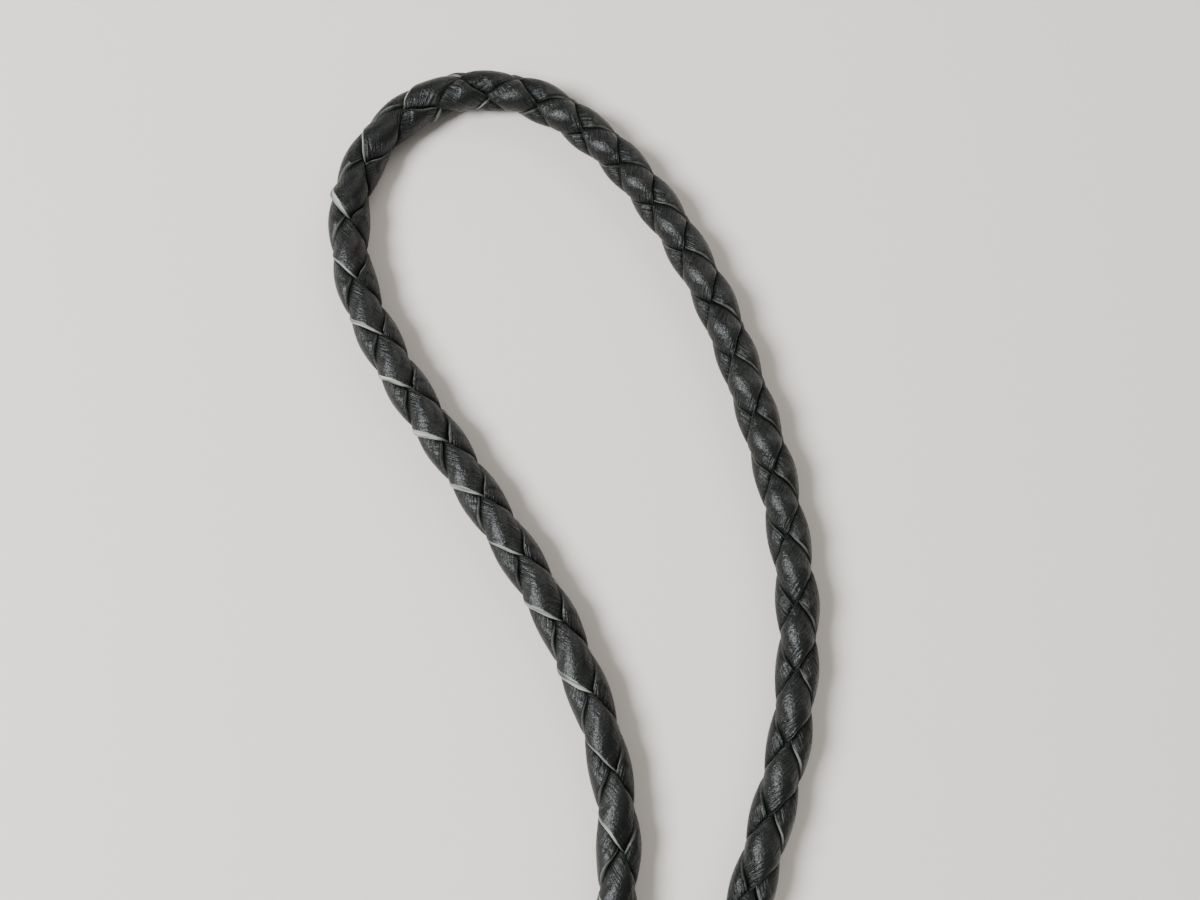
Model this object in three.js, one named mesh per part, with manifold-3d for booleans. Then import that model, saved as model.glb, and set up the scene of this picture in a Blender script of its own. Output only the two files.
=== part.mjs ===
import * as THREE from 'three';
import { mergeVertices } from 'three/addons/utils/BufferGeometryUtils.js';
import Module from 'manifold-3d';

const wasm = await Module();
wasm.setup();

// Bolo tie in millimetres, +Z up, lying on z = 0, with +Y from the tips to the top of the neck loop.
// Four leather laces are braided into one round cord, which runs from the left tip up through the
// slide, round the neck loop, and down through the slide again to the right tip.

// Driving dimensions of the cord
const floorHeight = 3.0;
const raisedHeight = 4.5;

// Route of the cord's middle, points from its left end to its right end
const route = [
  { x: -16.0, y: -192.0, z: raisedHeight },
  { x: -15.9, y: -184.5, z: raisedHeight },
  { x: -15.7, y: -177.0, z: raisedHeight },
  { x: -15.3, y: -162.0, z: 3.75 },
  { x: -14.2, y: -145.0, z: 3.09 },
  { x: -11.8, y: -120.0, z: floorHeight },
  { x: -6.5, y: -69.0, z: floorHeight },
  { x: -1.2, y: -20.0, z: floorHeight },
  { x: 1.6, y: 10.0, z: 3.09 },
  { x: 2.35, y: 26.0, z: 3.6 },
  { x: 2.5, y: 40.0, z: raisedHeight },
  { x: 2.5, y: 60.0, z: raisedHeight },
  { x: 2.5, y: 80.0, z: raisedHeight },
  { x: 2.6, y: 94.0, z: 3.6 },
  { x: 2.6, y: 108.6, z: 3.09 },
  { x: 2.7, y: 119.0, z: floorHeight },
  { x: 0.4, y: 130.4, z: floorHeight },
  { x: -5.5, y: 144.3, z: floorHeight },
  { x: -16.1, y: 161.0, z: floorHeight },
  { x: -27.6, y: 178.3, z: floorHeight },
  { x: -33.0, y: 190.2, z: floorHeight },
  { x: -33.6, y: 202.2, z: floorHeight },
  { x: -29.1, y: 211.4, z: floorHeight },
  { x: -20.5, y: 216.8, z: floorHeight },
  { x: -10.0, y: 216.4, z: floorHeight },
  { x: -0.9, y: 210.9, z: floorHeight },
  { x: 7.8, y: 201.2, z: floorHeight },
  { x: 15.1, y: 188.6, z: floorHeight },
  { x: 20.2, y: 174.8, z: floorHeight },
  { x: 24.1, y: 160.6, z: floorHeight },
  { x: 26.1, y: 145.7, z: floorHeight },
  { x: 25.0, y: 130.8, z: floorHeight },
  { x: 20.9, y: 115.1, z: 3.09 },
  { x: 15.7, y: 99.5, z: 3.6 },
  { x: 11.9, y: 89.0, z: 4.2 },
  { x: 10.5, y: 80.0, z: raisedHeight },
  { x: 10.5, y: 60.0, z: raisedHeight },
  { x: 10.5, y: 40.0, z: raisedHeight },
  { x: 10.9, y: 26.0, z: 3.6 },
  { x: 12.2, y: 10.0, z: 3.09 },
  { x: 15.6, y: -20.0, z: floorHeight },
  { x: 22.2, y: -69.0, z: floorHeight },
  { x: 28.5, y: -120.0, z: floorHeight },
  { x: 30.7, y: -145.0, z: 3.09 },
  { x: 31.5, y: -162.0, z: 3.75 },
  { x: 31.9, y: -177.0, z: raisedHeight },
  { x: 32.1, y: -184.5, z: raisedHeight },
  { x: 32.3, y: -192.0, z: raisedHeight },
];
const samplesPerSpan = 60;

// Length of one full turn of a lace, at distances along the cord
const layRows = [
  { along: 0, lay: 17.7 },
  { along: 280, lay: 18.4 },
  { along: 300, lay: 19.0 },
  { along: 314, lay: 19.3 },
  { along: 328, lay: 19.9 },
  { along: 338, lay: 19.7 },
  { along: 350, lay: 18.8 },
  { along: 361, lay: 17.3 },
  { along: 370, lay: 17.5 },
  { along: 380, lay: 16.9 },
  { along: 392, lay: 17.6 },
  { along: 400, lay: 17.3 },
  { along: 406, lay: 17.0 },
  { along: 411, lay: 18.8 },
  { along: 417, lay: 19.9 },
  { along: 422, lay: 17.0 },
  { along: 427, lay: 15.5 },
  { along: 434, lay: 15.3 },
  { along: 440, lay: 15.6 },
  { along: 453, lay: 14.3 },
  { along: 468, lay: 16.3 },
  { along: 499, lay: 16.4 },
  { along: 516, lay: 17.6 },
  { along: 546, lay: 18.2 },
  { along: 600, lay: 17.7 },
  { along: 900, lay: 17.7 },
];
const stitchOnTop = 313.2;

// Roll of the whole cord about its middle, in degrees from up towards the left of its run
const rollRows = [
  { along: 0, roll: -8 },
  { along: 400, roll: -8 },
  { along: 410, roll: -18 },
  { along: 415, roll: -18 },
  { along: 424, roll: 32 },
  { along: 432, roll: 42 },
  { along: 445, roll: 60 },
  { along: 490, roll: 68 },
  { along: 516, roll: 77 },
  { along: 900, roll: 77 },
];

// Laces: lens-shaped strips woven over one and under one
const lace = {
  halfSpreadOver: THREE.MathUtils.degToRad(66),
  halfSpreadUnder: THREE.MathUtils.degToRad(74),
  slowing: 0.38,
  lean: THREE.MathUtils.degToRad(40),
};
// Sections of a lace over half a turn: degrees from the middle of the stretch that lies on top,
// then the distances of its crown, its two edges and its back from the cord's middle
const laceRows = [
  { turn: -32, crown: 2.85, edge: 2.4, back: 2.05 },
  { turn: 0, crown: 3.0, edge: 2.5, back: 2.1 },
  { turn: 32, crown: 2.85, edge: 2.4, back: 2.05 },
  { turn: 90, crown: 1.45, edge: 1.2, back: 0.75 },
];

// Slide: a domed oval plate on a block with two bores for the cord
const slide = { x: 6.5, y: 60, width: 30, height: 40, plateBottom: 9.0, plateTop: 11.0, dome: 2.2 };
const slideRim = { width: 1.6, rise: 0.7 };
const slideBlock = { width: 17, length: 26, top: 9.4, corner: 1.5, boreRadius: 3.4, boreSpacing: 8.0 };

// Tips: a ferrule with a blind bore that tapers to a round end
const tip = { length: 44, mouthRadius: 4.5, sleeveRadius: 4.1, endRadius: 2.5 };
const tipBore = { radius: 3.4, depth: 16.5, cordInside: 16.0 };
const tipBand = { length: 1.6, fromMouth: 18.0 };

// Sides of the round forms
const sides = { plate: 40, tip: 20, bore: 12 };
const sectionCorners = 4;
const mergeDistance = 1e-4;

const leather = new THREE.MeshStandardMaterial({ color: 0x2a2d2c, roughness: 0.5, metalness: 0.0 });
const metal = new THREE.MeshStandardMaterial({ color: 0xc4c5c3, roughness: 0.22, metalness: 1.0 });

// Value at a place in a rising list, in straight lines between its entries
function lookUp(places, values, place) {
  let low = 0;
  let high = places.length - 1;
  while (high - low > 1) {
    const middle = (low + high) >> 1;
    if (places[middle] <= place) low = middle;
    else high = middle;
  }
  const share = (place - places[low]) / (places[high] - places[low]);
  return values[low] + (values[high] - values[low]) * share;
}

// Cord's middle line as fine samples, with the distance along it and the laces' turn at each
function sampleRoute() {
  const points = route.map((row) => new THREE.Vector3(row.x, row.y, row.z));
  const curve = new THREE.CatmullRomCurve3(points, false, 'centripetal');
  const middles = curve.getPoints((route.length - 1) * samplesPerSpan);
  const layPlaces = layRows.map((row) => row.along);
  const lays = layRows.map((row) => row.lay);
  const along = [0];
  const turns = [0];
  for (let i = 1; i < middles.length; i += 1) {
    const step = middles[i].distanceTo(middles[i - 1]);
    const lay = lookUp(layPlaces, lays, along[i - 1] + step / 2);
    along.push(along[i - 1] + step);
    turns.push(turns[i - 1] + (2 * Math.PI * step) / lay);
  }
  const shift = lookUp(along, turns, stitchOnTop);
  return { middles, along, turns: turns.map((turn) => turn - shift) };
}

const cord = sampleRoute();
const cordLength = cord.along[cord.along.length - 1];
const samplePlaces = cord.along.map((_, i) => i);

// Place, run direction, left side and upper side of the cord at a distance along it
function frameAt(along) {
  const place = lookUp(cord.along, samplePlaces, along);
  const i = Math.min(Math.max(Math.floor(place), 0), cord.middles.length - 2);
  const middle = cord.middles[i].clone().lerp(cord.middles[i + 1], place - i);
  const run = cord.middles[i + 1].clone().sub(cord.middles[i]).normalize();
  const left = new THREE.Vector3(0, 0, 1).cross(run).normalize();
  const upper = run.clone().cross(left);
  return { middle, run, left, upper };
}

const rollPlaces = rollRows.map((row) => row.along);
const rolls = rollRows.map((row) => THREE.MathUtils.degToRad(row.roll));

// Point on a lace: turn counts from where it lies on top, lane runs from -1 to 1 across its width
function lacePoint(hand, side, turn, lane, distance) {
  const along = lookUp(cord.turns, cord.along, turn + side.start);
  const eased = turn - (lace.slowing / 2) * Math.sin(2 * turn);
  const widening = (lace.halfSpreadUnder - lace.halfSpreadOver) * Math.sin(turn) ** 2;
  const spread = lane * (lace.halfSpreadOver + widening);
  const angle = lookUp(rollPlaces, rolls, along) + side.angle + hand * (eased + spread);
  const frame = frameAt(along);
  return frame.middle
    .addScaledVector(frame.left, distance * Math.sin(angle))
    .addScaledVector(frame.upper, distance * Math.cos(angle));
}

// Lace as a skin over four-cornered sections, each one slanted along the lace that it crosses
function laceGeometry(hand, side) {
  const firstTurn = cord.turns[0] - side.start + lace.lean;
  const lastTurn = cord.turns[cord.turns.length - 1] - side.start - lace.lean;
  const sections = [];
  for (let half = Math.floor(firstTurn / Math.PI); half * Math.PI < lastTurn; half += 1) {
    for (const row of laceRows) {
      const turn = half * Math.PI + THREE.MathUtils.degToRad(row.turn);
      if (turn >= firstTurn && turn <= lastTurn) sections.push({ turn, row });
    }
  }
  const points = [];
  for (const { turn, row } of sections) {
    points.push(lacePoint(hand, side, turn + lace.lean, -1, row.edge));
    points.push(lacePoint(hand, side, turn, 0, row.crown));
    points.push(lacePoint(hand, side, turn - lace.lean, 1, row.edge));
    points.push(lacePoint(hand, side, turn, 0, row.back));
  }
  const corners = [];
  const addFace = (a, b, c) => (hand > 0 ? corners.push(a, c, b) : corners.push(a, b, c));
  for (let i = 0; i < sections.length - 1; i += 1) {
    for (let j = 0; j < sectionCorners; j += 1) {
      const here = sectionCorners * i + j;
      const next = sectionCorners * i + ((j + 1) % sectionCorners);
      addFace(here, next, here + sectionCorners);
      addFace(next, next + sectionCorners, here + sectionCorners);
    }
  }
  const last = sectionCorners * (sections.length - 1);
  addFace(0, 3, 2);
  addFace(0, 2, 1);
  addFace(last, last + 1, last + 2);
  addFace(last, last + 2, last + 3);
  const geometry = new THREE.BufferGeometry().setFromPoints(points);
  geometry.setIndex(corners);
  geometry.computeVertexNormals();
  return geometry;
}

// Geometry reduced to shared corners, as a solid that can be joined and cut
function toSolid(geometry) {
  const bare = geometry.clone();
  bare.deleteAttribute('normal');
  bare.deleteAttribute('uv');
  const merged = mergeVertices(bare, mergeDistance);
  const vertProperties = new Float32Array(merged.attributes.position.array);
  const triVerts = new Uint32Array(merged.index.array);
  return new wasm.Manifold(new wasm.Mesh({ numProp: 3, vertProperties, triVerts }));
}

function fromSolid(solid) {
  const mesh = solid.getMesh();
  const geometry = new THREE.BufferGeometry();
  geometry.setAttribute('position', new THREE.BufferAttribute(mesh.vertProperties, mesh.numProp));
  geometry.setIndex(new THREE.BufferAttribute(mesh.triVerts, 1));
  geometry.computeVertexNormals();
  return geometry;
}

// Domed oval plate with a raised rim, turned round and then stretched to an oval
function plateGeometry() {
  const radius = slide.width / 2;
  const inner = radius - slideRim.width;
  const thickness = slide.plateTop - slide.plateBottom;
  const profile = [
    new THREE.Vector2(0, 0),
    new THREE.Vector2(radius, 0),
    new THREE.Vector2(radius, thickness),
    new THREE.Vector2(radius - slideRim.width / 4, thickness + slideRim.rise),
    new THREE.Vector2(inner + slideRim.width / 4, thickness + slideRim.rise),
    new THREE.Vector2(inner, thickness),
  ];
  const domeSteps = 5;
  for (let i = 1; i <= domeSteps; i += 1) {
    const angle = ((Math.PI / 2) * i) / domeSteps;
    profile.push(new THREE.Vector2(inner * Math.cos(angle), thickness + slide.dome * Math.sin(angle)));
  }
  profile[profile.length - 1].x = 0;
  const geometry = new THREE.LatheGeometry(profile, sides.plate);
  geometry.rotateX(Math.PI / 2);
  geometry.scale(1, slide.height / slide.width, 1);
  geometry.translate(0, 0, slide.plateBottom);
  return geometry;
}

// Block under the plate, its outline seen along the cords and drawn out along them
function blockGeometry() {
  const half = slideBlock.width / 2;
  const corner = slideBlock.corner;
  const outline = new THREE.Shape();
  outline.moveTo(-half + corner, 0);
  outline.lineTo(half - corner, 0);
  outline.absarc(half - corner, corner, corner, -Math.PI / 2, 0, false);
  outline.lineTo(half, slideBlock.top);
  outline.lineTo(-half, slideBlock.top);
  outline.absarc(-half + corner, corner, corner, Math.PI, (3 * Math.PI) / 2, false);
  for (const side of [-1, 1]) {
    const bore = new THREE.Path();
    const across = (side * slideBlock.boreSpacing) / 2;
    bore.absarc(across, raisedHeight, slideBlock.boreRadius, 0, 2 * Math.PI, true);
    outline.holes.push(bore);
  }
  const settings = { depth: slideBlock.length, bevelEnabled: false, curveSegments: sides.bore };
  const geometry = new THREE.ExtrudeGeometry(outline, settings);
  geometry.rotateX(Math.PI / 2);
  geometry.translate(0, slideBlock.length / 2, 0);
  return geometry;
}

// Ferrule turned about its length, from the round end at 0 to the open mouth
function tipGeometry() {
  const bandMiddle = tip.length - tipBand.fromMouth;
  const profile = [];
  const roundSteps = 5;
  for (let i = 0; i <= roundSteps; i += 1) {
    const angle = ((Math.PI / 2) * i) / roundSteps;
    profile.push(new THREE.Vector2(tip.endRadius * Math.sin(angle), tip.endRadius * (1 - Math.cos(angle))));
  }
  profile[0].x = 0;
  profile.push(new THREE.Vector2(tip.sleeveRadius, bandMiddle - tipBand.length / 2));
  profile.push(new THREE.Vector2(tip.mouthRadius, bandMiddle));
  profile.push(new THREE.Vector2(tip.sleeveRadius, bandMiddle + tipBand.length / 2));
  profile.push(new THREE.Vector2(tip.sleeveRadius, tip.length - tipBand.length));
  profile.push(new THREE.Vector2(tip.mouthRadius, tip.length - tipBand.length / 2));
  profile.push(new THREE.Vector2(tip.mouthRadius, tip.length));
  profile.push(new THREE.Vector2(tipBore.radius, tip.length));
  profile.push(new THREE.Vector2(tipBore.radius, tip.length - tipBore.depth));
  profile.push(new THREE.Vector2(0, tip.length - tipBore.depth));
  return new THREE.LatheGeometry(profile, sides.tip);
}

function addPiece(name, geometry, material) {
  const mesh = new THREE.Mesh(geometry, material);
  mesh.name = name;
  boloTie.add(mesh);
  return mesh;
}

const boloTie = new THREE.Group();

// Two laces wind to the left and two to the right; each pair starts half a turn apart
addPiece('strand_1', laceGeometry(1, { angle: 0, start: 0 }), leather.clone());
addPiece('strand_2', laceGeometry(1, { angle: Math.PI, start: 0 }), leather.clone());
addPiece('strand_3', laceGeometry(-1, { angle: Math.PI / 2, start: Math.PI / 2 }), leather.clone());
addPiece('strand_4', laceGeometry(-1, { angle: -Math.PI / 2, start: Math.PI / 2 }), leather.clone());

const slideSolid = toSolid(plateGeometry()).add(toSolid(blockGeometry()));
const slidePiece = addPiece('slide', fromSolid(slideSolid), metal.clone());
slidePiece.position.set(slide.x, slide.y, 0);

// Each tip lies along its end of the cord, which reaches to just above the bottom of the bore
function addTip(name, along, towardsMouth) {
  const frame = frameAt(along);
  const axis = frame.run.multiplyScalar(towardsMouth);
  const mesh = addPiece(name, tipGeometry(), metal.clone());
  mesh.quaternion.setFromUnitVectors(new THREE.Vector3(0, 1, 0), axis);
  mesh.position.copy(frame.middle).addScaledVector(axis, tipBore.cordInside - tip.length);
}
addTip('tip_left', 0, 1);
addTip('tip_right', cordLength, -1);

export default boloTie;
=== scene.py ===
import math

import bpy
import numpy as np
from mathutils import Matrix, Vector


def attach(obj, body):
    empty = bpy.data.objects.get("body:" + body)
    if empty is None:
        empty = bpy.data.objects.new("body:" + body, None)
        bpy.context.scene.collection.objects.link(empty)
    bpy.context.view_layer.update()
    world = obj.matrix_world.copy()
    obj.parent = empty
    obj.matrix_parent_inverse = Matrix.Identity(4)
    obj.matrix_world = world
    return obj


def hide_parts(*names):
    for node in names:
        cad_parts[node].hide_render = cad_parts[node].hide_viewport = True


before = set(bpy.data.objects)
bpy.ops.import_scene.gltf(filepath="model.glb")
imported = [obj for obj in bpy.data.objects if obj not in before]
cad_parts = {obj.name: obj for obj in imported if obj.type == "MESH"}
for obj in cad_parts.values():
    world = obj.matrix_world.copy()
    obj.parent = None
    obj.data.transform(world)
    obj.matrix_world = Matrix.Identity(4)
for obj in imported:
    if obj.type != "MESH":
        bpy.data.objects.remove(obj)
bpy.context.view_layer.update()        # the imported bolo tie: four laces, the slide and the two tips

# Bolo tie: a round cord braided from four black leather laces, with a domed metal slide and two
# metal tips, lying on a pale floor. Lengths in the dictionaries are in millimetres, angles in degrees.
mm = 0.001

# Camera at the photograph's angle, nearly straight down
camera = {"target": (0.5, 166.0, 3.0), "distance": 155.0, "elevation": 80.0, "lens": 35.01, "sensor": 36.0}


# The camera stands at target + distance * (0, -cos elevation, sin elevation) and looks back at it
def addCamera():
    data = bpy.data.cameras.new("camera")
    data.lens, data.sensor_width = camera["lens"], camera["sensor"]
    data.clip_start, data.clip_end = 5 * mm, 5000 * mm
    eye = bpy.data.objects.new("camera", data)
    bpy.context.scene.collection.objects.link(eye)
    up = math.radians(camera["elevation"])
    back = (0.0, -math.cos(up), math.sin(up))
    eye.location = [mm * (c + camera["distance"] * b) for c, b in zip(camera["target"], back)]
    eye.rotation_euler = (math.pi / 2 - up, 0.0, 0.0)
    bpy.context.scene.camera = eye


addCamera()
print("camera made")

# Route of the cord's middle from the left tip to the right tip, as (x, y, z)
floorHeight = 3.0
raisedHeight = 4.5
route = np.array([
    (-16.0, -192.0, raisedHeight), (-15.9, -184.5, raisedHeight), (-15.7, -177.0, raisedHeight),
    (-15.3, -162.0, 3.75), (-14.2, -145.0, 3.09), (-11.8, -120.0, floorHeight),
    (-6.5, -69.0, floorHeight), (-1.2, -20.0, floorHeight), (1.6, 10.0, 3.09),
    (2.35, 26.0, 3.6), (2.5, 40.0, raisedHeight), (2.5, 60.0, raisedHeight),
    (2.5, 80.0, raisedHeight), (2.6, 94.0, 3.6), (2.6, 108.6, 3.09),
    (2.7, 119.0, floorHeight), (0.4, 130.4, floorHeight), (-5.5, 144.3, floorHeight),
    (-16.1, 161.0, floorHeight), (-27.6, 178.3, floorHeight), (-33.0, 190.2, floorHeight),
    (-33.6, 202.2, floorHeight), (-29.1, 211.4, floorHeight), (-20.5, 216.8, floorHeight),
    (-10.0, 216.4, floorHeight), (-0.9, 210.9, floorHeight), (7.8, 201.2, floorHeight),
    (15.1, 188.6, floorHeight), (20.2, 174.8, floorHeight), (24.1, 160.6, floorHeight),
    (26.1, 145.7, floorHeight), (25.0, 130.8, floorHeight), (20.9, 115.1, 3.09),
    (15.7, 99.5, 3.6), (11.9, 89.0, 4.2), (10.5, 80.0, raisedHeight),
    (10.5, 60.0, raisedHeight), (10.5, 40.0, raisedHeight), (10.9, 26.0, 3.6),
    (12.2, 10.0, 3.09), (15.6, -20.0, floorHeight), (22.2, -69.0, floorHeight),
    (28.5, -120.0, floorHeight), (30.7, -145.0, 3.09), (31.5, -162.0, 3.75),
    (31.9, -177.0, raisedHeight), (32.1, -184.5, raisedHeight), (32.3, -192.0, raisedHeight),
])
samplesPerSpan = 60

# Length of one full turn of a lace, and the roll of the cord, at distances along it
layRows = np.array([
    (0, 17.7), (280, 18.4), (300, 19.0), (314, 19.3), (328, 19.9), (338, 19.7), (350, 18.8), (361, 17.3),
    (370, 17.5), (380, 16.9), (392, 17.6), (400, 17.3), (406, 17.0), (411, 18.8), (417, 19.9),
    (422, 17.0), (427, 15.5), (434, 15.3), (440, 15.6), (453, 14.3), (468, 16.3), (499, 16.4),
    (516, 17.6), (546, 18.2), (600, 17.7), (900, 17.7),
])
rollRows = np.array([
    (0, -8), (400, -8), (410, -18), (415, -18), (424, 32), (432, 42), (445, 60), (490, 68), (516, 77),
    (900, 77),
])
stitchOnTop = 313.2        # where along the cord strand_1 is on top, but for the roll


# Centripetal Catmull-Rom curve through the route: on each span a cubic whose end slopes come from the
# neighbouring points, weighted by the square roots of their distances
def sampleRoute():
    ends = np.vstack([2 * route[0] - route[1], route, 2 * route[-1] - route[-2]])
    p0, p1, p2, p3 = ends[:-3], ends[1:-2], ends[2:-1], ends[3:]
    step = np.sqrt(np.linalg.norm(np.diff(ends, axis=0), axis=1))[:, None]
    d0, d1, d2 = step[:-2], step[1:-1], step[2:]
    slopeIn = d1 * ((p1 - p0) / d0 - (p2 - p0) / (d0 + d1) + (p2 - p1) / d1)
    slopeOut = d1 * ((p2 - p1) / d1 - (p3 - p1) / (d1 + d2) + (p3 - p2) / d2)
    s = (np.arange(samplesPerSpan) / samplesPerSpan)[None, :, None]
    a, b, m, n = p1[:, None], p2[:, None], slopeIn[:, None], slopeOut[:, None]
    points = a + m * s + (3 * b - 3 * a - 2 * m - n) * s**2 + (2 * a - 2 * b + m + n) * s**3
    return np.vstack([points.reshape(-1, 3), route[-1]])


cordMiddles = sampleRoute()
cordSteps = np.linalg.norm(np.diff(cordMiddles, axis=0), axis=1)
cordAlong = np.concatenate([[0.0], np.cumsum(cordSteps)])
cordLays = np.interp(cordAlong[:-1] + cordSteps / 2, layRows[:, 0], layRows[:, 1])
cordTurns = np.concatenate([[0.0], np.cumsum(2 * np.pi * cordSteps / cordLays)])
cordTurns -= np.interp(stitchOnTop, cordAlong, cordTurns)
cordRuns = np.gradient(cordMiddles, axis=0)
print("cord length", round(float(cordAlong[-1]), 2), "mm")


def unit(vectors):
    return vectors / np.linalg.norm(vectors, axis=-1, keepdims=True)


# Each column of samples, read off in straight lines at the given places
def columnsAt(places, samplePlaces, samples):
    return np.stack([np.interp(places, samplePlaces, samples[:, k]) for k in range(3)], axis=-1)


# sRGB hex to linear: c / 12.92 below 0.04045, and ((c + 0.055) / 1.055) ** 2.4 above
def toLinear(hexColour):
    parts = [((hexColour >> shift) & 255) / 255 for shift in (16, 8, 0)]
    return [c / 12.92 if c <= 0.04045 else ((c + 0.055) / 1.055) ** 2.4 for c in parts] + [1.0]


# One shader node: settings are its options, inputs its fixed values, links the sockets that feed it
def addNode(tree, kind, settings=(), inputs=(), links=()):
    node = tree.nodes.new(kind)
    for name, value in dict(settings).items():
        setattr(node, name, value)
    for name, value in dict(inputs).items():
        node.inputs[name].default_value = value
    for name, socket in dict(links).items():
        tree.links.new(socket, node.inputs[name])
    return node


def startMaterial(name):
    material = bpy.data.materials.new(name)
    material.use_nodes = True
    tree = material.node_tree
    tree.nodes.clear()
    shader = addNode(tree, "ShaderNodeBsdfPrincipled")
    addNode(tree, "ShaderNodeOutputMaterial", links={"Surface": shader.outputs[0]})
    return material, tree, shader


# Scale of a pattern on coordinates in metres, whose features are size millimetres
def perMm(size):
    return 1 / (size * mm)


def makePiece(name, points, faces, material, shadeSmooth=True):
    mesh = bpy.data.meshes.new(name)
    mesh.from_pydata((points * mm).tolist(), [], faces)
    mesh.validate()
    mesh.polygons.foreach_set("use_smooth", np.full(len(mesh.polygons), shadeSmooth))
    mesh.materials.append(material)
    mesh.update()
    piece = bpy.data.objects.new(name, mesh)
    bpy.context.scene.collection.objects.link(piece)
    return piece


# Four-cornered faces of a grid whose columns close round: rows run along it, columns round it
def gridFaces(rows, columns):
    here = (np.arange(rows - 1)[:, None] * columns + np.arange(columns)[None, :]).ravel()
    side = (np.arange(rows - 1)[:, None] * columns + np.roll(np.arange(columns), -1)[None, :]).ravel()
    return np.stack([here, side, side + columns, here + columns], axis=1)


# Lace: what every one of the four has in common
lace = {
    "halfSpreadOver": 77.0, "halfSpreadUnder": 88.0, "waist": 14.0,   # half its width round the cord
    "slowing": 0.38,                       # how far it lies along the cord where it is on top
    "underside": 1.02, "swing": 0.54,      # radius its underside swings about, and how far
    "low": 1.7, "high": 3.0, "arch": 0.36,   # radius of its upper side, under and over, and its fullness
    "thinnest": 0.3, "halfWidth": 3.6,     # least thickness, and half its width where it is on top
    "edgeDrop": 0.3,                       # how far the upper side falls to the edges
    "squareness": 6.0,                     # of its section: 2 is an ellipse, more is squarer
    "clearance": 1.5,                      # angle kept level past the edge of the lace it crosses
    "tuck": 8.0,                           # angle in under the next lace where its upper side is lowest
    "flare": 21.0, "lift": 0.3, "ear": 0.4,   # how far a curled edge stands out: an angle, and heights
    "leastCurl": 0.5, "curlBulge": 1.3,    # share that the weakest curl has, and how it fades along
    "earFade": 0.3,                        # how soon, past the cord's side, a curled edge stops lifting
    "wander": 3.0, "widthChange": 0.05, "sink": 0.14,   # unevenness of the handwork
    "coarse": 36, "fine": 60, "fineFrom": 285.0, "fineTo": 565.0,   # sections for each turn
    "topPoints": 21, "undersidePoints": 12,
}
# Each lace: the way it winds, its angle round the cord where it is outermost, the part of a turn at which
# that is, the lace it crosses over, the strength of its curl, and the seed of its unevenness
laces = {
    "strand_1": {"hand": 1, "angle": 0.0, "start": 0.0, "over": "strand_4", "curl": 1.0, "seed": 11},
    "strand_2": {"hand": 1, "angle": 180.0, "start": 0.0, "over": "strand_3", "curl": 1.0, "seed": 12},
    "strand_3": {"hand": -1, "angle": 90.0, "start": 90.0, "over": "strand_1", "curl": 0.35, "seed": 13},
    "strand_4": {"hand": -1, "angle": -90.0, "start": 90.0, "over": "strand_2", "curl": 0.35, "seed": 14},
}
# Share by which an edge curls up, along the cord: one edge on the loop's left run, the other past its
# top where it is negative, and none inside a tip or the slide
curlRows = np.array([
    (0, 0), (17, 0), (25, 1), (232, 1), (239, 0), (267, 0), (275, 1), (418, 1), (446, -0.3), (585, -0.3),
    (591, 0), (622, 0), (629, -0.3), (835, -0.3), (843, 0), (900, 0),
])


def ownTurn(name, phi):
    return phi - math.radians(laces[name]["start"])


# Random values from -1 to 1, one for each half turn of a lace, joined by straight lines
def uneven(name, phi, kind):
    lowest, highest = int(cordTurns[0] / np.pi) - 3, int(cordTurns[-1] / np.pi) + 3
    values = np.random.default_rng([laces[name]["seed"], kind]).uniform(-1, 1, highest - lowest + 1)
    return np.interp(ownTurn(name, phi) / np.pi, np.arange(lowest, highest + 1), values)


# Angle of the lace's middle: its own where it is outermost, plus hand * (t - slowing / 2 * sin 2t + a
# random wander), plus the cord's roll
def middleAngle(name, phi):
    t = ownTurn(name, phi)
    along = np.interp(phi, cordTurns, cordAlong)
    roll = np.radians(np.interp(along, rollRows[:, 0], rollRows[:, 1]))
    turned = t - lace["slowing"] / 2 * np.sin(2 * t) + math.radians(lace["wander"]) * uneven(name, phi, 1)
    return roll + math.radians(laces[name]["angle"]) + laces[name]["hand"] * turned


# Half the lace's width as an angle: narrow where it is on top, wide where it is under
def halfSpread(name, phi):
    t = ownTurn(name, phi)
    widening = (lace["halfSpreadUnder"] - lace["halfSpreadOver"]) * np.sin(t) ** 2
    spread = np.radians(lace["halfSpreadOver"] + widening - lace["waist"] * np.sin(2 * t) ** 2)
    return spread * (1 + lace["widthChange"] * uneven(name, phi, 2))


def wrapped(angle):
    return (angle + np.pi) % (2 * np.pi) - np.pi


def smooth(x):
    x = np.clip(x, 0, 1)
    return x * x * (3 - 2 * x)


# Section of a lace as shares of its width and thickness: x to the n plus y to the n is 1, with the
# points gathered towards the edges
def laceSection():
    power = lace["squareness"]
    top = np.sin(np.pi / 2 * np.linspace(1, -1, lace["topPoints"]))
    under = np.sin(np.pi / 2 * np.linspace(-1, 1, lace["undersidePoints"]))[1:-1]
    height = [(1 - np.abs(x) ** power).clip(0, 1) ** (1 / power) for x in (top, under)]
    return np.concatenate([top, under])[None, :], np.concatenate([height[0], -height[1]])[None, :]


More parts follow.
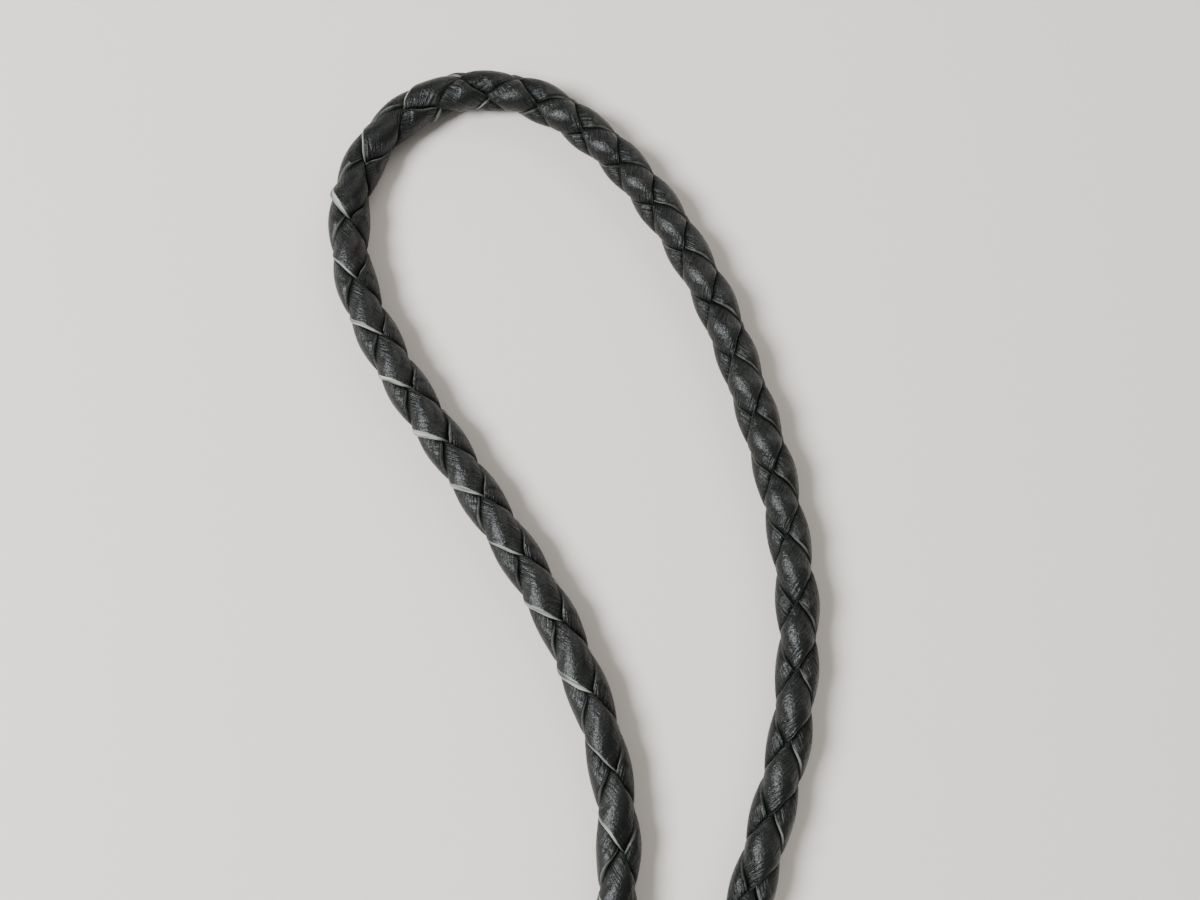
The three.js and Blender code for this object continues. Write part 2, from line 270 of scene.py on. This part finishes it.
# Closed strip: a squarish section bent round the cord at the lace's angle. Its underside swings between
# two radii, up over the lace that it crosses and down under the next one, and its upper side is an
# arch: low + (high - low) * cos(90 degrees * share) ** arch, share being the way to that next one.
# Where an edge curls, both sides rise and flare outwards with a power of the place across the lace
def laceSurface(name):
    spec = laces[name]
    under = next(other for other in laces if laces[other]["over"] == name)
    photographed = (cordAlong > lace["fineFrom"]) & (cordAlong < lace["fineTo"])
    density = np.where(photographed, lace["fine"], lace["coarse"])[1:] / (2 * np.pi)
    sections = np.concatenate([[0.0], np.cumsum(np.diff(cordTurns) * density)])
    phi = np.interp(np.linspace(0, sections[-1], int(sections[-1])), sections, cordTurns)[:, None]
    along = np.interp(phi, cordTurns, cordAlong)
    across, outward = laceSection()
    curled = spec["curl"] * np.interp(along, curlRows[:, 0], curlRows[:, 1])
    steady = (1 + lace["leastCurl"]) / 2
    curled = curled * (steady + (1 - steady) * uneven(name, phi, 3))
    curl = np.clip(across * curled, 0, 1)
    angle = middleAngle(name, phi) + spec["hand"] * across * halfSpread(name, phi)
    clear = math.radians(lace["clearance"])
    fromOver = np.abs(wrapped(angle - middleAngle(spec["over"], phi)))
    first = halfSpread(spec["over"], phi) + clear
    last = np.pi - halfSpread(under, phi) - clear
    level = 1 - 2 * smooth((fromOver - first) / (last - first))
    tucked = last + math.radians(lace["tuck"])
    shown = np.cos(np.pi / 2 * np.clip(fromOver / tucked, 0, 1))
    arch, bulge = shown ** lace["arch"], shown ** lace["curlBulge"]
    angle = angle + spec["hand"] * np.sign(across) * math.radians(lace["flare"]) * curl**3 * bulge
    lowered = lace["lift"] * np.abs(curled) + lace["sink"] * (0.5 + 0.5 * uneven(name, phi, 4))
    high = lace["high"] - lowered
    inner = lace["underside"] + lace["swing"] * level
    edge = lace["edgeDrop"] * across**2 * (1 - curl) - (lace["lift"] + lace["sink"]) * curl**2
    ear = lace["ear"] * smooth(0.5 + np.cos(angle) / (2 * lace["earFade"]))      # none towards the floor
    raised = ear * curl**4 * bulge
    outer = lace["low"] + (high - lace["low"]) * arch - edge * arch + raised
    outer = np.clip(outer, inner + lace["thinnest"], lace["high"] + ear)
    inner = inner + raised
    radius = (inner + outer) / 2 + outward * (outer - inner) / 2
    middles = columnsAt(along[:, 0], cordAlong, cordMiddles)
    runs = unit(columnsAt(along[:, 0], cordAlong, cordRuns))
    lefts = unit(np.cross([0.0, 0.0, 1.0], runs))
    uppers = np.cross(runs, lefts)
    points = middles[:, None] + (radius * np.sin(angle))[..., None] * lefts[:, None]
    points = points + (radius * np.cos(angle))[..., None] * uppers[:, None]
    ridge = points[:, lace["topPoints"] // 2]
    length = np.concatenate([[0.0], np.cumsum(np.linalg.norm(np.diff(ridge, axis=0), axis=1))])
    lane = np.stack(np.broadcast_arrays(length[:, None], across * lace["halfWidth"], 0 * angle), axis=-1)
    facts = {"across": across, "raised": arch, "curl": curl**2 * bulge}
    return points, lane, {key: np.broadcast_to(value, angle.shape) for key, value in facts.items()}


# The lace's mesh, closed by a fan of triangles at each end and facing outwards, with its shader's facts
# on its points
def addLace(name, material):
    points, lane, facts = laceSurface(name)
    rows, columns = points.shape[:2]
    # Corners in the order that points the faces outwards: with hand -1 the sections run the other way round
    order = [3, 0, 1, 2] if laces[name]["hand"] > 0 else [0, 3, 2, 1]
    faces = gridFaces(rows, columns)[:, order]
    count = rows * columns
    caps = np.vstack([points[0].mean(axis=0), points[-1].mean(axis=0)])
    ring = np.arange(columns)
    start = np.stack([ring, np.roll(ring, -1), np.full(columns, count)], axis=1)
    end = np.stack([np.roll(ring, -1), ring, np.full(columns, count + 1)], axis=1)
    end[:, :2] += count - columns
    if laces[name]["hand"] > 0:
        start, end = start[:, ::-1], end[:, ::-1]
    everything = faces.tolist() + start.tolist() + end.tolist()
    piece = makePiece(name + "_leather", np.vstack([points.reshape(-1, 3), caps]), everything, material)
    for key, value in facts.items():
        values = np.concatenate([value.ravel(), [0.0, 0.0]]).astype(np.float32)
        piece.data.attributes.new(key, "FLOAT", "POINT").data.foreach_set("value", values)
    places = np.vstack([lane.reshape(-1, 3), np.zeros((2, 3))]) * mm
    piece.data.attributes.new("lane", "FLOAT_VECTOR", "POINT").data.foreach_set("vector", places.ravel())
    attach(piece, "root")
    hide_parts(name)
    return piece


# Look of the leather: sizes of its patterns and depths of its relief in millimetres, and its shine
hide = {
    "grain": 0.26, "pores": 0.34, "cloud": 4.0, "gatherLength": 4.5, "gatherWidth": 0.42,
    "gatherDepth": 0.36, "grainDepth": 0.07,
    "dyeDark": 0x050706, "dyeLight": 0x0D110E, "fibreDark": 0x3A3D37, "fibreLight": 0xB0B3AA,
    "curlReach": 0.32, "raggedness": 0.1,   # how far the raw edge reaches in, as shares of the half width
    # the extra paleness of a curled raw edge over a flat one is a painted highlight
    "flatPaleness": 0.24,                   # of a raw edge that lies flat, where a curled one has 1
    "smoothest": 0.23, "roughest": 0.45, "rawRougher": 0.5,   # roughness, and what a raw edge adds
    "leastShine": 0.05, "mostShine": 0.31,   # specular level in the crevices and on the ridges
}


# Black leather, made as drum-dyed hide cut into flat laces and waxed. It gives the eye near-black with
# a fine pored grain that breaks up the shine, gathers along the lace where it dives, and paler raw edges
def blackLeather():
    material, tree, shader = startMaterial("drum_dyed_leather")
    place = addNode(tree, "ShaderNodeTexCoord").outputs["Object"]
    lane = addNode(tree, "ShaderNodeAttribute", {"attribute_name": "lane"}).outputs["Vector"]
    across = addNode(tree, "ShaderNodeAttribute", {"attribute_name": "across"}).outputs["Fac"]
    raised = addNode(tree, "ShaderNodeAttribute", {"attribute_name": "raised"}).outputs["Fac"]
    curl = addNode(tree, "ShaderNodeAttribute", {"attribute_name": "curl"}).outputs["Fac"]

    # Grain of the hide, with pores about 0.3 mm apart and a broader cloudy change of the dye
    grain = addNode(tree, "ShaderNodeTexNoise", {},
                    {"Scale": perMm(hide["grain"]), "Detail": 3.0, "Roughness": 0.65},
                    {"Vector": place}).outputs["Fac"]
    pores = addNode(tree, "ShaderNodeTexVoronoi", {"feature": "F1"}, {"Scale": perMm(hide["pores"])},
                    {"Vector": place}).outputs["Distance"]
    cloud = addNode(tree, "ShaderNodeTexNoise", {}, {"Scale": perMm(hide["cloud"]), "Detail": 2.0},
                    {"Vector": place}).outputs["Fac"]
    skin = addNode(tree, "ShaderNodeMath", {"operation": "MULTIPLY_ADD"}, {1: 0.45},
                   {0: pores, 2: grain}).outputs[0]

    # Gathers along the lace, a line each 0.4 mm, strongest where it is squeezed under the next one
    stretched = addNode(tree, "ShaderNodeMapping", {},
                        {"Scale": (perMm(hide["gatherLength"]), perMm(hide["gatherWidth"]), 1.0)},
                        {"Vector": lane}).outputs["Vector"]
    lines = addNode(tree, "ShaderNodeTexNoise", {},
                    {"Scale": 1.0, "Detail": 2.5, "Roughness": 0.5, "Distortion": 0.35},
                    {"Vector": stretched}).outputs["Fac"]
    diving = addNode(tree, "ShaderNodeMapRange", {"interpolation_type": "SMOOTHSTEP"},
                     {"From Min": 0.985, "From Max": 0.86, "To Min": 0.15, "To Max": 1.0},
                     {"Value": raised}).outputs[0]
    gathers = addNode(tree, "ShaderNodeMath", {"operation": "MULTIPLY"}, {},
                      {0: lines, 1: diving}).outputs[0]

    # Raw cut edge, an uneven band 0.2 to 1.3 mm wide, widest where the edge curls up. Its pale colour is
    # partly the leather's own and partly a painted highlight: a curled edge is painted paler than a flat
    # one, as if it catches the light
    side = addNode(tree, "ShaderNodeMath", {"operation": "ABSOLUTE"}, {}, {0: across}).outputs[0]
    reach = addNode(tree, "ShaderNodeMath", {"operation": "MULTIPLY_ADD"}, {1: hide["curlReach"]},
                    {0: curl, 2: side}).outputs[0]
    ragged = addNode(tree, "ShaderNodeMath", {"operation": "MULTIPLY_ADD"}, {1: hide["raggedness"]},
                     {0: grain, 2: reach}).outputs[0]
    band = addNode(tree, "ShaderNodeMapRange", {"interpolation_type": "SMOOTHSTEP"},
                   {"From Min": 1.0, "From Max": 1.05}, {"Value": ragged}).outputs[0]
    palenessAndPaintedHighlight = addNode(tree, "ShaderNodeMapRange", {},
                       {"From Min": 0.05, "From Max": 0.5, "To Min": hide["flatPaleness"], "To Max": 1.0},
                       {"Value": curl}).outputs[0]
    rawEdgeWithPaintedHighlight = addNode(tree, "ShaderNodeMath", {"operation": "MULTIPLY"}, {}, {0: band, 1: palenessAndPaintedHighlight}).outputs[0]

    dye = addNode(tree, "ShaderNodeValToRGB", links={"Fac": cloud})
    dye.color_ramp.elements[0].position, dye.color_ramp.elements[1].position = 0.3, 0.75
    dye.color_ramp.elements[0].color = toLinear(hide["dyeDark"])
    dye.color_ramp.elements[1].color = toLinear(hide["dyeLight"])
    fibre = addNode(tree, "ShaderNodeValToRGB", links={"Fac": lines})
    fibre.color_ramp.elements[0].position, fibre.color_ramp.elements[1].position = 0.3, 0.7
    fibre.color_ramp.elements[0].color = toLinear(hide["fibreDark"])
    fibre.color_ramp.elements[1].color = toLinear(hide["fibreLight"])
    colour = addNode(tree, "ShaderNodeMix", {"data_type": "RGBA"}, {},
                     {"Factor": rawEdgeWithPaintedHighlight, 6: dye.outputs["Color"], 7: fibre.outputs["Color"]})
    tree.links.new(colour.outputs[2], shader.inputs["Base Color"])

    gloss = addNode(tree, "ShaderNodeMapRange", {},
                    {"From Min": 0.4, "From Max": 0.9,
                     "To Min": hide["smoothest"], "To Max": hide["roughest"]},
                    {"Value": skin}).outputs[0]
    dulled = addNode(tree, "ShaderNodeMath", {"operation": "MULTIPLY_ADD", "use_clamp": True},
                     {1: hide["rawRougher"]}, {0: rawEdgeWithPaintedHighlight, 2: gloss}).outputs[0]
    tree.links.new(dulled, shader.inputs["Roughness"])
    dustAndPaintedShade = addNode(tree, "ShaderNodeMapRange", {"interpolation_type": "SMOOTHSTEP"},
                        {"From Min": 0.45, "From Max": 0.82,
                         "To Min": hide["leastShine"], "To Max": hide["mostShine"]},
                        {"Value": raised}).outputs[0]
    tree.links.new(dustAndPaintedShade, shader.inputs["Specular IOR Level"])     # less shine in the crevices: partly dust and missing wax, partly painted shade where the laces dive

    # Relief: the gathers are pressed into the surface, and the grain lies over them
    gathered = addNode(tree, "ShaderNodeBump", {"invert": True},
                       {"Strength": 1.0, "Distance": hide["gatherDepth"] * mm}, {"Height": gathers})
    grained = addNode(tree, "ShaderNodeBump", {},
                      {"Strength": 1.0, "Distance": hide["grainDepth"] * mm},
                      {"Height": skin, "Normal": gathered.outputs["Normal"]})
    tree.links.new(grained.outputs["Normal"], shader.inputs["Normal"])
    return material


leather = blackLeather()
for laceName in laces:
    addLace(laceName, leather)
    print(laceName, "braided")


# Look of the metal: sizes of its patterns and depth of its hairlines in millimetres, and its roughness
plating = {
    "hairWidth": 0.12, "hairLength": 3.5, "touches": 6.0, "hairDepth": 0.01,
    "handled": 0x9C9A95, "bright": 0xCBC9C4,
    "handledRoughness": 0.3, "brightRoughness": 0.14, "hairRougher": 0.12,
}


# Silver-toned metal, made as stamped and drawn brass, nickel-plated and buffed. It gives the eye bright
# soft-edged reflections, broken by fine hairlines and a few darker touches
def platedMetal():
    material, tree, shader = startMaterial("buffed_nickel_plate")
    place = addNode(tree, "ShaderNodeTexCoord").outputs["Object"]
    hairScale = (perMm(plating["hairWidth"]), perMm(plating["hairLength"]), perMm(plating["hairWidth"]))
    drawn = addNode(tree, "ShaderNodeMapping", {}, {"Scale": hairScale}, {"Vector": place}).outputs["Vector"]
    hairlines = addNode(tree, "ShaderNodeTexNoise", {}, {"Scale": 1.0, "Detail": 3.0, "Roughness": 0.6},
                        {"Vector": drawn}).outputs["Fac"]
    touches = addNode(tree, "ShaderNodeTexNoise", {},
                      {"Scale": perMm(plating["touches"]), "Detail": 4.0, "Roughness": 0.6},
                      {"Vector": place}).outputs["Fac"]
    tone = addNode(tree, "ShaderNodeValToRGB", links={"Fac": touches})
    tone.color_ramp.elements[0].position, tone.color_ramp.elements[1].position = 0.3, 0.6
    tone.color_ramp.elements[0].color = toLinear(plating["handled"])
    tone.color_ramp.elements[1].color = toLinear(plating["bright"])
    tree.links.new(tone.outputs["Color"], shader.inputs["Base Color"])
    shader.inputs["Metallic"].default_value = 1.0
    smeared = addNode(tree, "ShaderNodeMapRange", {},
                      {"From Min": 0.3, "From Max": 0.7,
                       "To Min": plating["handledRoughness"], "To Max": plating["brightRoughness"]},
                      {"Value": touches}).outputs[0]
    gloss = addNode(tree, "ShaderNodeMath", {"operation": "MULTIPLY_ADD"}, {1: plating["hairRougher"]},
                    {0: hairlines, 2: smeared}).outputs[0]
    tree.links.new(gloss, shader.inputs["Roughness"])
    bump = addNode(tree, "ShaderNodeBump", {}, {"Strength": 0.25, "Distance": plating["hairDepth"] * mm},
                   {"Height": hairlines})
    tree.links.new(bump.outputs["Normal"], shader.inputs["Normal"])
    return material


nickel = platedMetal()


# Surface turned round the z axis from a profile of (radius, height), which starts and ends at radius 0
def turned(profile, sides):
    rings = np.array(profile[1:-1])
    angle = 2 * np.pi * np.arange(sides) / sides
    radii, heights = rings[:, :1], rings[:, 1:]
    points = np.stack(np.broadcast_arrays(radii * np.cos(angle), radii * np.sin(angle), heights), axis=-1)
    points = points.reshape(-1, 3)
    points = np.vstack([points, [[0.0, 0.0, profile[0][1]], [0.0, 0.0, profile[-1][1]]]])
    count, last = len(rings) * sides, (len(rings) - 1) * sides
    ring = np.arange(sides)
    following = np.roll(ring, -1)
    first = np.stack([following, ring, np.full(sides, count)], axis=1)
    final = np.stack([last + ring, last + following, np.full(sides, count + 1)], axis=1)
    return points, gridFaces(len(rings), sides).tolist() + first.tolist() + final.tolist()


# Points of an ellipse's arc, from one angle to another in degrees
def arc(centre, radii, start, end, steps):
    angles = np.radians(np.linspace(start, end, steps + 1))
    return [(centre[0] + radii[0] * np.cos(a), centre[1] + radii[1] * np.sin(a)) for a in angles]


# Slide: a domed oval plate with a raised rim, on a block with two bores for the cord
slide = {
    "middle": (6.5, 60.0), "width": 30.0, "height": 40.0, "plateBottom": 9.0, "plateTop": 11.0, "dome": 2.2,
    "rimWidth": 1.6, "rimRise": 0.7, "fillet": 0.35, "plateSides": 128,
    "blockWidth": 17.0, "blockLength": 26.0, "blockTop": 9.4, "corner": 1.5, "bevel": 0.25,
    "boreRadius": 3.4, "boreSpacing": 8.0, "boreHeight": 4.5, "boreSides": 72,
}


def addPlate():
    radius, thickness = slide["width"] / 2, slide["plateTop"] - slide["plateBottom"]
    fillet, rise, rim = slide["fillet"], slide["rimRise"], slide["rimWidth"]
    inner = radius - rim
    profile = [(0.0, 0.0)] + arc((radius - fillet, fillet), (fillet, fillet), -90, 0, 5)
    profile += arc((radius - rim / 2, thickness), (rim / 2, rise), 0, 172, 16)
    profile += arc((0.0, thickness), (inner, slide["dome"]), 2, 88, 30) + [(0.0, thickness + slide["dome"])]
    points, faces = turned(profile, slide["plateSides"])
    points = points * [1.0, slide["height"] / slide["width"], 1.0]
    points = points + [*slide["middle"], slide["plateBottom"]]
    return makePiece("slide_plate", points, faces, nickel)


# The block is made as one half with its bore, and its mirror image. At each end of the half lies a ring
# of faces between the bore and an outline, whose points are where rays from the bore's middle meet a
# side or the plane between the halves, pulled onto the rounded corner at the bottom
def addBlock():
    sides, half = slide["boreSides"], slide["blockWidth"] / 2
    across, low, corner = slide["boreSpacing"] / 2, slide["boreHeight"], slide["corner"]
    angle = 2 * np.pi * (np.arange(sides) + 0.5) / sides
    cos, sin = np.cos(angle), np.sin(angle)
    toSide = np.where(cos > 0, (half - across) / np.abs(cos), across / np.abs(cos))
    toLevel = np.where(sin > 0, (slide["blockTop"] - low) / np.abs(sin), low / np.abs(sin))
    reach = np.minimum(toSide, toLevel)
    outline = np.stack([across + reach * cos, low + reach * sin], axis=1)
    centre = np.array([half - corner, corner])
    outside = (outline[:, 0] > centre[0]) & (outline[:, 1] < centre[1])
    pulled = centre + corner * unit(outline - centre)
    outline = np.where(outside[:, None], pulled, outline)
    bore = np.stack([across + slide["boreRadius"] * cos, low + slide["boreRadius"] * sin], axis=1)
    ends = []
    for y in (-slide["blockLength"] / 2, slide["blockLength"] / 2):
        for ring in (outline, bore):
            ends.append(np.insert(ring, 1, y, axis=1))
    halfPoints = np.vstack(ends)                     # outline and bore in front, then behind
    ring = np.arange(sides)
    following = np.roll(ring, -1)
    quads = []
    for a, b in ((0, sides), (sides, 3 * sides), (3 * sides, 2 * sides), (2 * sides, 0)):
        shared = (np.abs(outline[:, 0]) < 1e-6) if {a, b} == {0, 2 * sides} else np.zeros(sides, bool)
        keep = ~(shared & shared[following])
        quads.append(np.stack([a + ring, a + following, b + following, b + ring], axis=1)[keep])
    quads = np.vstack(quads)
    points = np.vstack([halfPoints, halfPoints * [-1.0, 1.0, 1.0]])
    faces = np.vstack([quads, quads[:, ::-1] + len(halfPoints)])
    places, owners = np.unique(np.round(points, 5), axis=0, return_inverse=True)
    faces = owners.ravel()[faces]
    piece = makePiece("slide_block", places + [*slide["middle"], 0.0], faces.tolist(), nickel, False)
    bevel = piece.modifiers.new("softened_edges", "BEVEL")
    bevel.width, bevel.segments = slide["bevel"] * mm, 2
    bevel.angle_limit = math.radians(50)
    return piece


for piece in (addPlate(), addBlock()):
    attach(piece, "root")
    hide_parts("slide")
print("slide made")

# Tips: a ferrule with a blind bore, which tapers from a band to a round end
tip = {
    "length": 44.0, "mouthRadius": 4.5, "sleeveRadius": 4.1, "endRadius": 2.5,
    "boreRadius": 3.4, "boreDepth": 16.5, "cordInside": 16.0, "bandWidth": 1.6, "bandFromMouth": 18.0,
    "groove": 0.1, "lip": 0.2, "sides": 96,   # left between a bead and the sleeve, and round the mouth
}


# The tip is turned upright with its mouth up, then laid along the cord's end that it holds
def addTip(name, along, towardsMouth):
    length, sleeve, mouth, width = tip["length"], tip["sleeveRadius"], tip["mouthRadius"], tip["bandWidth"]
    band = length - tip["bandFromMouth"]
    bead, groove, lip = mouth - sleeve, tip["groove"], tip["lip"]
    profile = [(0.0, 0.0)] + arc((0.0, tip["endRadius"]), (tip["endRadius"],) * 2, -84, -4, 12)
    profile += [(sleeve - groove / 5, band - width / 2 - groove / 2)]
    profile += arc((sleeve, band), (bead, width / 2), -90, 90, 12)
    profile += [(sleeve, band + width / 2 + groove), (sleeve, length - width - groove)]
    profile += arc((sleeve, length - width / 2), (bead, width / 2), -90, 80, 12)
    profile += arc((tip["boreRadius"] + lip, length - lip), (lip, lip), 90, 180, 3)
    profile += [(tip["boreRadius"], length - tip["boreDepth"]), (0.0, length - tip["boreDepth"])]
    points, faces = turned(profile, tip["sides"])
    place = columnsAt(np.array([along]), cordAlong, cordMiddles)[0]
    axis = unit(columnsAt(np.array([along]), cordAlong, cordRuns)[0]) * towardsMouth
    side = unit(np.cross(axis, [0.0, 0.0, 1.0]))
    turn = np.stack([side, np.cross(axis, side), axis])
    points = points @ turn + place + axis * (tip["cordInside"] - length)
    piece = makePiece(name + "_ferrule", points, faces, nickel)
    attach(piece, "root")
    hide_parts(name)


addTip("tip_left", 0.0, 1)
addTip("tip_right", cordAlong[-1], -1)
print("tips made")

# Floor and light: a plain pale floor, an even grey sky and two soft lamps
studio = {
    "floor": 0xD8D2CC, "floorSize": 6000.0, "floorRoughness": 0.9, "world": 0xCCCCCA, "worldStrength": 0.65,
    "aim": (0, 160, 0),        # where both lamps point
}
lamps = {
    "key": {"place": (480, 860, 620), "size": 900, "power": 6.0, "colour": 0xFFFAF4},
    "window": {"place": (-480, 60, 560), "size": 340, "power": 13.0, "colour": 0xFAFCFF},
}


def addFloor():
    material, tree, shader = startMaterial("matt_floor")
    shader.inputs["Base Color"].default_value = toLinear(studio["floor"])
    shader.inputs["Roughness"].default_value = studio["floorRoughness"]
    half = studio["floorSize"] / 2
    corners = np.array([(-half, -half, 0.0), (half, -half, 0.0), (half, half, 0.0), (-half, half, 0.0)])
    floor = makePiece("floor", corners, [(0, 1, 2, 3)], material)


def addLamp(name, spec):
    data = bpy.data.lights.new(name, "AREA")
    data.shape, data.size, data.energy = "DISK", spec["size"] * mm, spec["power"]
    data.color = toLinear(spec["colour"])[:3]
    lamp = bpy.data.objects.new(name, data)
    bpy.context.scene.collection.objects.link(lamp)
    lamp.location = [c * mm for c in spec["place"]]
    towards = np.array(studio["aim"], float) - np.array(spec["place"], float)
    lamp.rotation_euler = Vector(towards).to_track_quat("-Z", "Y").to_euler()


addFloor()
world = bpy.data.worlds.new("studio")
world.use_nodes = True
background = world.node_tree.nodes["Background"]
background.inputs["Color"].default_value = toLinear(studio["world"])
background.inputs["Strength"].default_value = studio["worldStrength"]
bpy.context.scene.world = world
for lampName, lampSpec in lamps.items():
    addLamp(lampName, lampSpec)
print("studio made")
